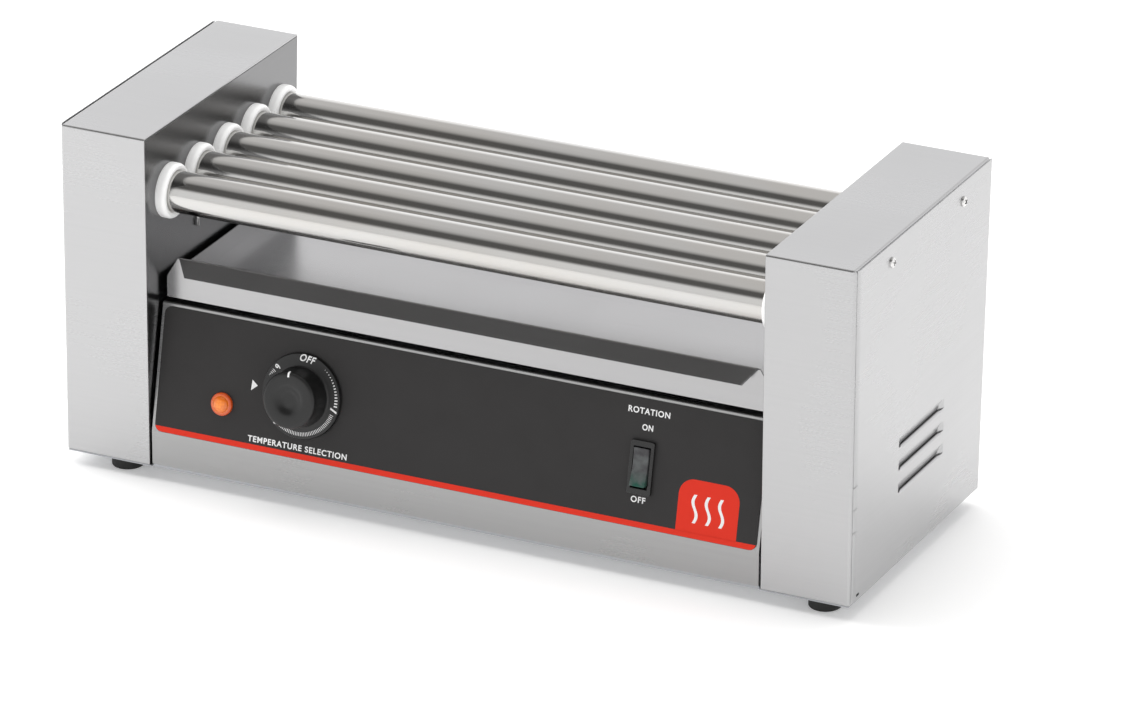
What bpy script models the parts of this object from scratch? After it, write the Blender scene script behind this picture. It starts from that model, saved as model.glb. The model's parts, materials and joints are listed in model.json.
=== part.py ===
"""A countertop hot dog roller grill: five heated rollers on a chain drive, over a pull-out drip tray.

Metres, +Z up, the front faces -Y. The origin is on the ground, under the middle of the whole object.
Depths are counted back from the housings' front faces, and heights up from their lower edges.
"""

import math

import bmesh
import bpy
from mathutils import Matrix, Vector

# Clearances and sheet
GAP = 0.0003
SHEET = 0.0012
FILM = 0.0004

# Housings
HALF_WIDTH = 0.290
HOUSING_WIDTH = 0.0645
HOUSING_DEPTH = 0.2203
HOUSING_HEIGHT = 0.2347
REAR_LEAN = 0.0098  # the rear edge comes this far forward on its way down
FRONT = -0.10225  # the knob stands in front of the housings, so this isn't half the depth
FLOOR = 0.011  # lower edge of the housings above the ground
INNER_FACE = HALF_WIDTH - HOUSING_WIDTH
COVER = 0.0010
COVER_INSETS = (0.0022, 0.0012, 0.0005)  # from the housing's front, rear and top
WRAP_SIDE = HALF_WIDTH - COVER - GAP
WRAP_CORNER = 0.0020
WRAP_FLANGE = 0.0200
FOLD = 0.0012
COVER_SCREW_DEPTHS = (0.0549, 0.1717)
COVER_SCREW_HEIGHT = 0.2210
SCREW_HOLE = 0.0021

# Louvres in the side covers, pressed inwards above a level cut
LOUVRE_HEIGHTS = (0.0512, 0.0673, 0.0834)  # of the cut edge under each pressing
LOUVRE_LENGTH = 0.074
LOUVRE_LIP = 0.060
LOUVRE_RISE = 0.0075
LOUVRE_SINK = 0.0028

# Rollers and their drive
ROLLERS = 5
ROLLER_PITCH = 0.040
ROLLER_RADIUS = 0.0142
ROLLER_WALL = 0.0010
ROLLER_DEPTH = 0.0322
ROLLER_HEIGHT = 0.1878
ROLLER_SIDES = 32
ROLLER_LEFT = -0.2445
ROLLER_RIGHT = 0.2765
BUSH_RADIUS = 0.0189
BUSH_STAND = {-1: 0.0072, 1: 0.0092}  # out of the left and the right inner panel
BUSH_NECK = 0.0168
BUSH_TAIL = 0.0075  # behind the inner panel's face
BUSH_SIDES = 24
RUNNING = 0.00005
CHAIN_PITCH = 0.00635
ROLLER_TEETH = 16
MOTOR_TEETH = 10
TOOTH_TIP = 0.00148
TOOTH_ROOT = 0.0016
SPROCKET_WIDTH = 0.0028
CHAIN_PLANE = 0.2716
MOTOR_DEPTH = 0.1122
MOTOR_DROP = 0.075
MOTOR_RADIUS = 0.028
MOTOR_SHAFT_RADIUS = 0.0035

# Heating elements
HEATER_RADIUS = 0.0040
HEATER_PIN = 0.0015
HEATER_LEFT = -0.2820
HEATER_RIGHT = 0.2865
BRACKET_RIGHT = 0.2802
BRACKET_LEFT = -0.2692
BRACKET_HALF = 0.010

# Control panel
PANEL_HALF = INNER_FACE - 0.0018
PANEL_DEPTH = 0.0008
PANEL_BOTTOM = 0.0010
PANEL_FOLD = 0.0250
PANEL_TOP = 0.1123
PANEL_LEAN = math.radians(12.26)
PANEL_LEDGE = 0.014
PANEL_SLOPE = (PANEL_TOP - PANEL_FOLD) / math.cos(PANEL_LEAN)
OVERLAY_BORDER = 0.0022
OVERLAY_CORNER = 0.0050

# Controls, as (across, up the slope) on the leaning panel
KNOB_AT = (-0.1138, 0.0440)
LAMP_AT = (-0.1726, 0.0278)
SWITCH_AT = (0.1355, 0.0410)
SPINDLE_RADIUS = 0.0030
ROCKER_TILT = math.radians(5)  # pressed in at the top, which is on
ROCKER_PIVOT = -0.0030

# Drip tray and the deck that it slides on
DECK_TOP = 0.1150
DECK_SKIRT = 0.0150
TRAY_SHEET = 0.0009
TRAY_HALF = 0.2218
TRAY_FRONT = 0.0220
TRAY_REAR = 0.2020
TRAY_FLOOR = DECK_TOP + GAP
TRAY_WALL = 0.0145
TRAY_PEAK = 0.0297
TRAY_CHAMFER = (0.0092, 0.0150)
LIP_REACH = 0.0085
LIP_DROP = 0.0105
LIP_MITRE = 0.0085
LIP_FOLD = 0.0005
CUT = 0.02  # how far the tray's cutters reach past it

# Base, feet and rear
BASE_REAR = 0.2042
BASE_LIP = 0.022
FOOT_IN = 0.0387  # from each housing's left side
FOOT_DEPTHS = (0.0170, 0.1930)
FOOT_RADIUS = 0.0111
GLAND_AT = (0.1500, 0.0420)
GLAND_BORE = 0.0045

# Local Z becomes X, local X becomes Y and local Y becomes Z
ACROSS = Matrix(((0, 0, 1), (1, 0, 0), (0, 1, 0))).to_4x4()
# Local Z becomes world Y, for sheets and bores that run front to back
ALONG = Matrix(((-1, 0, 0), (0, 0, 1), (0, 1, 0))).to_4x4()

STEEL = ((0.62, 0.62, 0.63), 0.32, 1.0)
BRIGHT_STEEL = ((0.72, 0.72, 0.72), 0.18, 1.0)
ZINC = ((0.55, 0.56, 0.58), 0.45, 1.0)
WHITE_PTFE = ((0.88, 0.88, 0.88), 0.45, 0.0)
BLACK_PLASTIC = ((0.02, 0.02, 0.02), 0.42, 0.0)
BLACK_FILM = ((0.045, 0.042, 0.042), 0.6, 0.0)
BLACK_RUBBER = ((0.02, 0.02, 0.02), 0.8, 0.0)
AMBER = ((0.85, 0.28, 0.03), 0.2, 0.0)
SMOKED = ((0.10, 0.13, 0.12), 0.2, 0.0)


def depth(value):
    return FRONT + value


def height(value):
    return FLOOR + value


# ---------------------------------------------------------------- outlines


def rounded(points, radius, steps=3, closed=False):
    """The points with each corner replaced by an arc; an open path keeps its two ends."""
    points = [Vector(p) for p in points]
    result = []
    for i, corner in enumerate(points):
        if not closed and i in (0, len(points) - 1):
            result.append(corner)
            continue
        back = (points[i - 1] - corner).normalized()
        ahead = (points[(i + 1) % len(points)] - corner).normalized()
        half = back.angle(ahead) / 2
        centre = corner + (back + ahead).normalized() * (radius / math.sin(half))
        start = corner + back * (radius / math.tan(half)) - centre
        turn = math.pi - 2 * half
        if back.x * ahead.y - back.y * ahead.x > 0:
            turn = -turn
        result += [centre + Matrix.Rotation(turn * k / steps, 2) @ start for k in range(steps + 1)]
    return result


def thickened(path, thickness):
    """The closed outline of a sheet that lies on the left of a path."""
    path = [Vector(p) for p in path]
    other = []
    for i, point in enumerate(path):
        if i == 0:
            runs = [path[1] - path[0]]
        elif i == len(path) - 1:
            runs = [path[-1] - path[-2]]
        else:
            runs = [path[i] - path[i - 1], path[i + 1] - path[i]]
        normals = [Vector((-run.y, run.x)).normalized() for run in runs]
        mitre = (normals[0] + normals[-1]).normalized()
        other.append(point + mitre * (thickness / mitre.dot(normals[0])))
    return path + other[::-1]


def circle(centre, radius, sides):
    turns = [2 * math.pi * k / sides for k in range(sides)]
    return [(centre[0] + radius * math.cos(t), centre[1] + radius * math.sin(t)) for t in turns]


def rectangle(centre, width, length):
    x, y = centre
    return [
        (x - width / 2, y - length / 2),
        (x + width / 2, y - length / 2),
        (x + width / 2, y + length / 2),
        (x - width / 2, y + length / 2),
    ]


def housing_outline(front, rear, top, lift=0.0):
    """(depth, height) corners of a housing from the side, set in from its front, rear, top and bottom."""
    back, high = HOUSING_DEPTH - rear, HOUSING_HEIGHT - top
    corners = [(front, lift), (front, high), (back, high), (back - REAR_LEAN, lift)]
    return [(depth(y), height(z)) for y, z in corners]


def sprocket_outline(teeth):
    """A toothed outline for the roller chain, with its tooth tips and roots flat."""
    pitch_radius = CHAIN_PITCH / 2 / math.sin(math.pi / teeth)
    tip, root = pitch_radius + TOOTH_TIP, pitch_radius - TOOTH_ROOT
    points = []
    for tooth in range(teeth):
        for part, radius in ((-0.14, tip), (0.14, tip), (0.32, root), (0.68, root)):
            turn = 2 * math.pi * (tooth + part) / teeth
            points.append((radius * math.cos(turn), radius * math.sin(turn)))
    return points


# ---------------------------------------------------------------- solids


def prism(outline, length, holes=()):
    """A flat outline in local XY, with holes, pushed out along local Z."""
    bm = bmesh.new()
    for loop in (outline, *holes):
        verts = [bm.verts.new((p[0], p[1], 0)) for p in loop]
        for a, b in zip(verts, verts[1:] + verts[:1]):
            bm.edges.new((a, b))
    if holes:
        bmesh.ops.triangle_fill(bm, edges=bm.edges[:], use_beauty=True, use_dissolve=False)
    else:
        bm.faces.new(bm.verts[:])
    pushed = bmesh.ops.extrude_face_region(bm, geom=bm.faces[:])["geom"]
    moved = [v for v in pushed if isinstance(v, bmesh.types.BMVert)]
    bmesh.ops.translate(bm, verts=moved, vec=(0, 0, length))
    bmesh.ops.recalc_face_normals(bm, faces=bm.faces)
    return bm


def turned(profile, sides, closed=False):
    """A profile of (radius, height) spun about local Z; a closed profile makes a ring."""
    bm = bmesh.new()
    verts = [bm.verts.new((r, 0, h)) for r, h in profile]
    edges = [bm.edges.new(pair) for pair in zip(verts, verts[1:])]
    if closed:
        edges.append(bm.edges.new((verts[-1], verts[0])))
    bmesh.ops.spin(
        bm, geom=verts + edges, cent=(0, 0, 0), axis=(0, 0, 1), angle=2 * math.pi, steps=sides,
        use_merge=True,
    )
    bmesh.ops.remove_doubles(bm, verts=bm.verts, dist=1e-6)
    bmesh.ops.recalc_face_normals(bm, faces=bm.faces)
    return bm


def lofted(rings):
    """Closed rings of equally many points, joined one after another and capped at both ends."""
    bm = bmesh.new()
    rows = [[bm.verts.new(p) for p in ring] for ring in rings]
    for low, high in zip(rows, rows[1:]):
        for k in range(len(low)):
            after = (k + 1) % len(low)
            bm.faces.new((low[k], low[after], high[after], high[k]))
    bm.faces.new(rows[0])
    bm.faces.new(rows[-1])
    bmesh.ops.recalc_face_normals(bm, faces=bm.faces)
    return bm


def drill(radius, sides=12):
    """A cutter that reaches well past both sides of a sheet at its local origin."""
    reach = 0.005
    return turned([(0, -reach), (radius, -reach), (radius, reach), (0, reach)], sides)


def hull(points):
    bm = bmesh.new()
    for point in points:
        bm.verts.new(point)
    bmesh.ops.convex_hull(bm, input=bm.verts)
    bmesh.ops.recalc_face_normals(bm, faces=bm.faces)
    return bm


# ---------------------------------------------------------------- objects


def material(name, look):
    colour, roughness, metallic = look
    made = bpy.data.materials.new(name)
    made.use_nodes = True
    shader = made.node_tree.nodes["Principled BSDF"]
    shader.inputs["Base Color"].default_value = (*colour, 1)
    shader.inputs["Roughness"].default_value = roughness
    shader.inputs["Metallic"].default_value = metallic
    made.diffuse_color = (*colour, 1)
    return made


def add(name, bm, look, place=Matrix(), parent=None):
    """One node of the model, from a mesh in its own coordinates."""
    mesh = bpy.data.meshes.new(name)
    bm.to_mesh(mesh)
    bm.free()
    mesh.materials.append(material(name, look))
    mesh.shade_smooth()
    mesh.set_sharp_from_angle(angle=math.radians(35))
    obj = bpy.data.objects.new(name, mesh)
    bpy.context.scene.collection.objects.link(obj)
    obj.parent = parent
    obj.matrix_local = place
    return obj


def shape(obj, operation, name, bm, place=Matrix(), parent=None):
    """Joins a hidden helper to an object, or cuts the object with it."""
    helper = add(name, bm, STEEL, place, parent)
    helper.hide_render = True
    helper.display_type = "WIRE"
    modifier = obj.modifiers.new(name, "BOOLEAN")
    modifier.operation = operation
    modifier.solver = "EXACT"
    modifier.object = helper


def across(x, y=0.0, z=0.0):
    """Places a mesh so that its local Z runs along +X."""
    return Matrix.Translation((x, y, z)) @ ACROSS


def along(x, y, z):
    """Places a mesh so that its local Z runs along +Y."""
    return Matrix.Translation((x, y, z)) @ ALONG


def empty(name, place):
    obj = bpy.data.objects.new(name, None)
    bpy.context.scene.collection.objects.link(obj)
    obj.matrix_world = place
    return obj


def panel_frame():
    """Local X runs across the leaning panel, local Y up its slope and local Z out of it."""
    place = Matrix.Translation((0, depth(PANEL_DEPTH), height(PANEL_FOLD)))
    return empty("control_plane", place @ Matrix.Rotation(math.pi / 2 - PANEL_LEAN, 4, "X"))


# ---------------------------------------------------------------- housings


def wrap_mesh(side):
    """One sheet bent over the front, top and rear, with a flange turned in at its outer side."""
    inner_corner = WRAP_CORNER - SHEET
    outer_arc = [math.radians(a) for a in (0, 30, 60, 90)]
    inner_arc = [math.radians(a) for a in (90, 0)]
    section = [(INNER_FACE, 0.0)]
    for turn in outer_arc:
        x = WRAP_SIDE - WRAP_CORNER + WRAP_CORNER * math.sin(turn)
        section.append((x, WRAP_CORNER - WRAP_CORNER * math.cos(turn)))
    section += [(WRAP_SIDE, WRAP_FLANGE), (WRAP_SIDE - SHEET, WRAP_FLANGE)]
    for turn in inner_arc:
        x = WRAP_SIDE - WRAP_CORNER + inner_corner * math.sin(turn)
        section.append((x, WRAP_CORNER - inner_corner * math.cos(turn)))
    section.append((INNER_FACE, SHEET))
    corners = [housing_outline(inset, inset, inset) for _, inset in section]
    rings = []
    for station in range(4):
        rings.append([(side * x, *corners[k][station]) for k, (x, _) in enumerate(section)])
    bm = lofted(rings)
    bm.verts.ensure_lookup_table()
    folds = []
    for station in (1, 2):
        for k in range(len(outer_arc)):
            first = station * len(section) + k
            folds.append(bm.edges.get((bm.verts[first], bm.verts[first + 1])))
    bmesh.ops.bevel(bm, geom=folds, offset=FOLD, segments=2, profile=0.5, affect="EDGES")
    bmesh.ops.recalc_face_normals(bm, faces=bm.faces)
    return bm


def roller_centres():
    return [(depth(ROLLER_DEPTH + k * ROLLER_PITCH), height(ROLLER_HEIGHT)) for k in range(ROLLERS)]


def cover_screw_centres():
    return [(depth(y), height(COVER_SCREW_HEIGHT)) for y in COVER_SCREW_DEPTHS]


def louvre_mesh(side, level, skin, start, low):
    """A wedge that narrows to a level lip inside the cover.

    skin is the depth inside the cover's face of the surface that the wedge follows, start the depth
    at which the wedge begins, and low the height of its underside above the cut.
    """
    middle, base = depth(HOUSING_DEPTH / 2), height(level)
    share = (skin + LOUVRE_SINK - start) / LOUVRE_SINK
    lip = LOUVRE_LIP / 2
    wide = lip + share * (LOUVRE_LENGTH / 2 - lip)
    outer, inner = side * (HALF_WIDTH - start), side * (HALF_WIDTH - skin - LOUVRE_SINK)
    points = []
    for end in (-1, 1):
        points.append((outer, middle + end * wide, base + low))
        points.append((outer, middle + end * wide, base + share * LOUVRE_RISE))
        points.append((inner, middle + end * lip, base + low))
    return hull(points)


def add_housing(name, side):
    wrap = add(f"{name}_housing_wrap", wrap_mesh(side), STEEL)
    for k, (y, z) in enumerate(cover_screw_centres()):
        place = across(side * WRAP_SIDE, y, z)
        shape(wrap, "DIFFERENCE", f"{name}_wrap_drill_{k}", drill(SCREW_HOLE), place)

    holes = [circle(c, BUSH_NECK + GAP, BUSH_SIDES) for c in roller_centres()]
    inset = SHEET + GAP
    inner = prism(housing_outline(inset, inset, inset, 0.001), SHEET, holes)
    start = INNER_FACE if side > 0 else -INNER_FACE - SHEET
    add(f"{name}_inner_panel", inner, STEEL, across(start))

    holes = [circle(c, SCREW_HOLE, 12) for c in cover_screw_centres()]
    plate = prism(housing_outline(*COVER_INSETS, 0.001), COVER, holes)
    start = HALF_WIDTH - COVER if side > 0 else -HALF_WIDTH
    cover = add(f"{name}_side_cover", plate, STEEL, across(start))
    for k, level in enumerate(LOUVRE_HEIGHTS):
        pressing = louvre_mesh(side, level, COVER, COVER * 0.6, GAP)
        shape(cover, "UNION", f"{name}_louvre_{k}", pressing)
        hollow = louvre_mesh(side, level, 0.0, -COVER, 0.0)
        shape(cover, "DIFFERENCE", f"{name}_louvre_hollow_{k}", hollow)
    add_cover_screws(name, side)


def add_cover_screws(name, side):
    head, rise, shank, reach = 0.0036, 0.0021, 0.0018, 0.0060
    profile = [(0, -reach), (shank, -reach), (shank, GAP), (head, GAP)]
    profile += [(head, 0.0010), (head * 0.72, rise * 0.92), (0, rise)]
    for k, (y, z) in enumerate(cover_screw_centres()):
        place = across(side * HALF_WIDTH, y, z)
        if side < 0:
            place = place @ Matrix.Rotation(math.pi, 4, "X")
        add(f"{name}_cover_screw_{k + 1}", turned(profile, 12), BRIGHT_STEEL, place)


# ---------------------------------------------------------------- rollers and drive


def add_bushing(name, side, centre):
    bore = (ROLLER_RADIUS + RUNNING) / math.cos(math.pi / BUSH_SIDES)
    back, stand = -BUSH_TAIL, BUSH_STAND[side]
    profile = [(bore, back), (BUSH_NECK, back), (BUSH_NECK, GAP), (BUSH_RADIUS, GAP)]
    profile += [(BUSH_RADIUS, stand - 0.0010), (BUSH_RADIUS - 0.0012, stand), (bore, stand)]
    place = across(side * INNER_FACE, *centre)
    if side > 0:
        place = place @ Matrix.Rotation(math.pi, 4, "X")
    add(name, turned(profile, BUSH_SIDES, closed=True), WHITE_PTFE, place)


def add_roller(number, centre):
    inside = ROLLER_RADIUS - ROLLER_WALL
    length = ROLLER_RIGHT - ROLLER_LEFT
    tube = [(inside, 0), (ROLLER_RADIUS, 0), (ROLLER_RADIUS, length), (inside, length)]
    place = across(ROLLER_LEFT, *centre)
    add(f"roller_{number}", turned(tube, ROLLER_SIDES, closed=True), BRIGHT_STEEL, place)

    bore = circle((0, 0), (ROLLER_RADIUS + GAP / 2) / math.cos(math.pi / 16), 16)
    disc = prism(sprocket_outline(ROLLER_TEETH), SPROCKET_WIDTH, [bore])
    place = across(CHAIN_PLANE - SPROCKET_WIDTH / 2, *centre)
    add(f"roller_sprocket_{number}", disc, ZINC, place)


def add_heater(number, centre):
    step = 0.009
    profile = [(0, HEATER_LEFT), (HEATER_PIN, HEATER_LEFT), (HEATER_PIN, HEATER_LEFT + step)]
    profile += [(HEATER_RADIUS, HEATER_LEFT + step), (HEATER_RADIUS, HEATER_RIGHT), (0, HEATER_RIGHT)]
    add(f"heating_element_{number}", turned(profile, 12), ZINC, across(0, *centre))


def add_heater_bracket(name, web):
    """A strap round the roller ends, from the inner panel out to the web that holds the elements."""
    side = math.copysign(1, web)
    foot = INNER_FACE + SHEET + GAP
    front, rear = depth(0.0075), depth(0.2133)
    path = [(rear, foot), (rear, abs(web)), (front, abs(web)), (front, foot)]
    outline = [(y, side * x) for y, x in thickened(path, SHEET)]
    # Local X becomes world Y, local Y becomes world X and local Z runs down
    downwards = Matrix(((0, 1, 0), (1, 0, 0), (0, 0, -1))).to_4x4()
    top = Matrix.Translation((0, 0, height(ROLLER_HEIGHT + BRACKET_HALF)))
    bracket = add(name, prism(outline, 2 * BRACKET_HALF), ZINC, top @ downwards)
    for k, centre in enumerate(roller_centres()):
        shape(bracket, "DIFFERENCE", f"{name}_drill_{k}", drill(HEATER_RADIUS + GAP), across(web, *centre))


def motor_centre():
    return depth(MOTOR_DEPTH), height(ROLLER_HEIGHT - MOTOR_DROP)


def chain_stations():
    """(point, outward) pairs along the chain's pitch line, round both end sprockets and the motor's."""
    big = CHAIN_PITCH / 2 / math.sin(math.pi / ROLLER_TEETH)
    small = CHAIN_PITCH / 2 / math.sin(math.pi / MOTOR_TEETH)
    centres = roller_centres()
    first, last = Vector(centres[0]), Vector(centres[-1])
    motor = Vector(motor_centre())
    run = motor - first
    # Outward direction of the slack run from the front sprocket down to the motor; the rear run mirrors it
    front = math.atan2(run.y, run.x) - math.acos((big - small) / run.length) + 2 * math.pi
    rear = math.pi - front
    arcs = [
        (last, big, rear, math.pi / 2, 12),
        (first, big, math.pi / 2, front, 12),
        (motor, small, front, rear + 2 * math.pi, 8),
    ]
    stations = []
    for centre, radius, start, end, steps in arcs:
        for k in range(steps + 1):
            turn = start + (end - start) * k / steps
            outward = Vector((math.cos(turn), math.sin(turn)))
            stations.append((centre + outward * radius, outward))
    return stations


def chain_mesh():
    """A closed loop of U section, open towards the sprockets so that the teeth turn inside it."""
    roof_in, roof_out, foot = 0.0019, 0.0031, -0.0013
    inner, outer = 0.0019, 0.0033
    section = [(outer, foot), (outer, roof_out), (-outer, roof_out), (-outer, foot)]
    section += [(-inner, foot), (-inner, roof_in), (inner, roof_in), (inner, foot)]
    bm = bmesh.new()
    rows = []
    for point, outward in chain_stations():
        row = []
        for x, offset in section:
            y, z = point + outward * offset
            row.append(bm.verts.new((CHAIN_PLANE + x, y, z)))
        rows.append(row)
    for low, high in zip(rows, rows[1:] + rows[:1]):
        for k in range(len(section)):
            after = (k + 1) % len(section)
            bm.faces.new((low[k], low[after], high[after], high[k]))
    bmesh.ops.recalc_face_normals(bm, faces=bm.faces)
    return bm


def add_drive():
    y, z = motor_centre()
    back, face = 0.2285, 0.2640
    edge = 0.0015
    can = [(0, back), (MOTOR_RADIUS - edge, back), (MOTOR_RADIUS, back + edge)]
    can += [(MOTOR_RADIUS, face - edge), (MOTOR_RADIUS - edge, face), (0, face)]
    add("gear_motor", turned(can, 28), ZINC, across(0, y, z))

    foot, web, half, tab = INNER_FACE + 2 * SHEET + GAP, face + GAP + SHEET, 0.0312, 0.012
    path = [(foot, -half - tab), (foot, -half), (web, -half)]
    path += [(web, half), (foot, half), (foot, half + tab)]
    outline = thickened(rounded(path, 0.0016, 2), SHEET)
    width = 0.036
    # Local X stays world X, local Y becomes world Z and local Z runs towards -Y
    upright = Matrix(((1, 0, 0), (0, 0, -1), (0, 1, 0))).to_4x4()
    bracket = add(
        "motor_bracket", prism(outline, width), ZINC, Matrix.Translation((0, y + width / 2, z)) @ upright
    )
    hole = drill(MOTOR_SHAFT_RADIUS + 0.002, 16)
    shape(bracket, "DIFFERENCE", "motor_bracket_drill", hole, across(web, y, z))

    start, end = face + GAP, CHAIN_PLANE + 0.0045
    shaft = [(0, start), (MOTOR_SHAFT_RADIUS, start), (MOTOR_SHAFT_RADIUS, end), (0, end)]
    add("motor_shaft", turned(shaft, 16), BRIGHT_STEEL, across(0, y, z))
    bore = circle((0, 0), MOTOR_SHAFT_RADIUS + GAP, 16)
    disc = prism(sprocket_outline(MOTOR_TEETH), SPROCKET_WIDTH, [bore])
    add("motor_sprocket", disc, ZINC, across(CHAIN_PLANE - SPROCKET_WIDTH / 2, y, z))
    add("drive_chain", chain_mesh(), ZINC)


# ---------------------------------------------------------------- control panel


def add_front_panel(plane):
    top = Vector((PANEL_DEPTH + PANEL_SLOPE * math.sin(PANEL_LEAN), PANEL_TOP))
    path = [top + Vector((PANEL_LEDGE, 0)), top, (PANEL_DEPTH, PANEL_FOLD), (PANEL_DEPTH, PANEL_BOTTOM)]
    path = [(depth(y), height(z)) for y, z in path]
    outline = thickened(rounded(path, 0.0014, 3), SHEET)
    panel = add("front_panel", prism(outline, 2 * PANEL_HALF), STEEL, across(-PANEL_HALF))
    for name, at, radius in (("spindle", KNOB_AT, 0.0050), ("lamp", LAMP_AT, 0.0060)):
        place = Matrix.Translation((*at, 0))
        shape(panel, "DIFFERENCE", f"panel_{name}_hole", drill(radius, 20), place, plane)
    through = 0.006
    slot = prism(rectangle((0, 0), 0.0146, 0.0306), 2 * through)
    place = Matrix.Translation((*SWITCH_AT, -through))
    shape(panel, "DIFFERENCE", "panel_switch_hole", slot, place, plane)


def add_overlay(plane):
    """A printed film with rounded corners, stuck to the leaning part of the panel."""
    width, tall = 2 * (PANEL_HALF - OVERLAY_BORDER), PANEL_SLOPE - 0.0030
    outline = rounded(rectangle((0, 0.0006 + tall / 2), width, tall), OVERLAY_CORNER, 4, closed=True)
    holes = [circle(KNOB_AT, 0.0055, 20), circle(LAMP_AT, 0.0065, 20)]
    holes.append(rectangle(SWITCH_AT, 0.0150, 0.0310))
    film = prism(outline, FILM, holes)
    add("control_overlay", film, BLACK_FILM, Matrix.Translation((0, 0, GAP)), plane)


def add_knob(plane):
    """A skirted knob with a dished face, on the thermostat's spindle."""
    seat = 2 * GAP + FILM
    skirt, grip, face = 0.0293, 0.0200, 0.0218
    dish, dish_depth = 0.0098, 0.0026
    bore, bore_depth = SPINDLE_RADIUS + GAP, 0.0150
    profile = [(0, bore_depth), (bore, bore_depth), (bore, 0), (skirt - 0.0008, 0), (skirt, 0.0008)]
    profile += [(skirt - 0.0006, 0.0026), (grip + 0.0016, 0.0034), (grip + 0.0002, 0.0060)]
    profile += [(grip - 0.0006, face - 0.0022), (grip - 0.0014, face - 0.0006), (grip - 0.0030, face)]
    for k in range(4):
        turn = math.pi / 2 * k / 4
        profile.append((dish * math.cos(turn), face - dish_depth * math.sin(turn)))
    profile.append((0, face - dish_depth))
    add("control_knob", turned(profile, 32), BLACK_PLASTIC, Matrix.Translation((*KNOB_AT, seat)), plane)

    inside = -0.0150
    tip = seat + bore_depth - GAP
    rod = [(0, inside), (SPINDLE_RADIUS, inside), (SPINDLE_RADIUS, tip), (0, tip)]
    add("thermostat_spindle", turned(rod, 16), ZINC, Matrix.Translation((*KNOB_AT, 0)), plane)

    body = rounded(rectangle((0, -0.001), 0.036, 0.042), 0.004, 2, closed=True)
    block = prism(body, 0.024, [circle((0, 0), SPINDLE_RADIUS + 0.0004, 16)])
    place = Matrix.Translation((*KNOB_AT, -SHEET - GAP - 0.024))
    add("thermostat_body", block, BLACK_PLASTIC, place, plane)


def add_lamp(plane):
    seat = 2 * GAP + FILM
    rim, neck = 0.0079, 0.0055
    lens = [(0, seat), (rim, seat), (rim, seat + 0.0014), (0.0070, seat + 0.0030)]
    lens += [(0.0040, seat + 0.0044), (0, seat + 0.0048)]
    place = Matrix.Translation((*LAMP_AT, 0))
    add("pilot_lamp_lens", turned(lens, 20), AMBER, place, plane)
    top = seat - GAP
    body = [(0, -0.024), (neck, -0.024), (neck, top), (0, top)]
    add("pilot_lamp_body", turned(body, 16), BLACK_PLASTIC, place, plane)


def add_switch(plane):
    seat = 2 * GAP + FILM
    bezel = prism(rounded(rectangle((0, 0), 0.0172, 0.0362), 0.0012, 2, closed=True), 0.0021)
    place = Matrix.Translation((*SWITCH_AT, seat))
    housing = add("switch_housing", bezel, BLACK_PLASTIC, place, plane)
    block = prism(rectangle((0, 0), 0.0140, 0.0300), 0.0235)
    shape(housing, "UNION", "switch_block", block, Matrix.Translation((*SWITCH_AT, -0.0220)), plane)
    well = prism(rectangle((0, 0), 0.0120, 0.0278), 0.0140)
    shape(housing, "DIFFERENCE", "switch_well", well, Matrix.Translation((*SWITCH_AT, -0.0092)), plane)

    # The rocker's side view, in (up the slope, out) about its pivot: a dished top over a round belly
    half, rise, belly = 0.0130, 0.0090, 0.0036
    side = [(-half, rise), (-half * 0.5, rise - 0.0013), (0, rise - 0.0018)]
    side += [(half * 0.5, rise - 0.0013), (half, rise), (half - 0.0012, 0.0015)]
    side += [(half * 0.45, -belly), (-half * 0.45, -belly), (-half + 0.0012, 0.0015)]
    rocker = prism(side, 0.0112)
    at = Matrix.Translation((SWITCH_AT[0], SWITCH_AT[1], ROCKER_PIVOT))
    turn = Matrix.Rotation(-ROCKER_TILT, 4, "X")
    place = at @ turn @ ACROSS @ Matrix.Translation((0, 0, -0.0056))
    add("rocker_button", rocker, SMOKED, place, plane)


# ---------------------------------------------------------------- tray, deck, base


def tray_outline():
    """The tray from the side: its lip folded forward and down, front wall, floor and rear wall."""
    peak = TRAY_FLOOR + TRAY_PEAK
    path = [(TRAY_FRONT - LIP_REACH, peak - LIP_DROP), (TRAY_FRONT, peak), (TRAY_FRONT, TRAY_FLOOR)]
    path += [(TRAY_REAR, TRAY_FLOOR), (TRAY_REAR, TRAY_FLOOR + TRAY_WALL)]
    path = [(depth(y), height(z)) for y, z in path]
    return thickened(rounded(path[:3], LIP_FOLD, 4) + path[3:], TRAY_SHEET)


def tray_wall_mesh():
    """A side wall that reaches a third of a sheet into the front wall, the floor and the rear wall."""
    bite = TRAY_SHEET / 3
    front, rear = depth(TRAY_FRONT) + bite, depth(TRAY_REAR) - bite
    low, high = height(TRAY_FLOOR) + bite, height(TRAY_FLOOR) + TRAY_WALL - 0.0001
    return prism([(front, low), (rear, low), (rear, high), (front, high)], TRAY_SHEET)


def tray_corner_mesh(side):
    """Cuts the raised front wall down to the side wall's height along a slope."""
    wide, tall = TRAY_CHAMFER
    peak = height(TRAY_FLOOR + TRAY_PEAK)
    edge, inner, outer = side * TRAY_HALF, side * (TRAY_HALF - wide), side * (TRAY_HALF + CUT)
    wedge = [(edge, peak - tall), (inner, peak + 0.0002), (inner, peak + CUT)]
    wedge += [(outer, peak + CUT), (outer, peak - tall)]
    ends = (depth(TRAY_FRONT) - 0.0001, depth(TRAY_FRONT) + 0.006)
    return lofted([[(x, y, z) for x, z in wedge] for y in ends])


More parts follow.
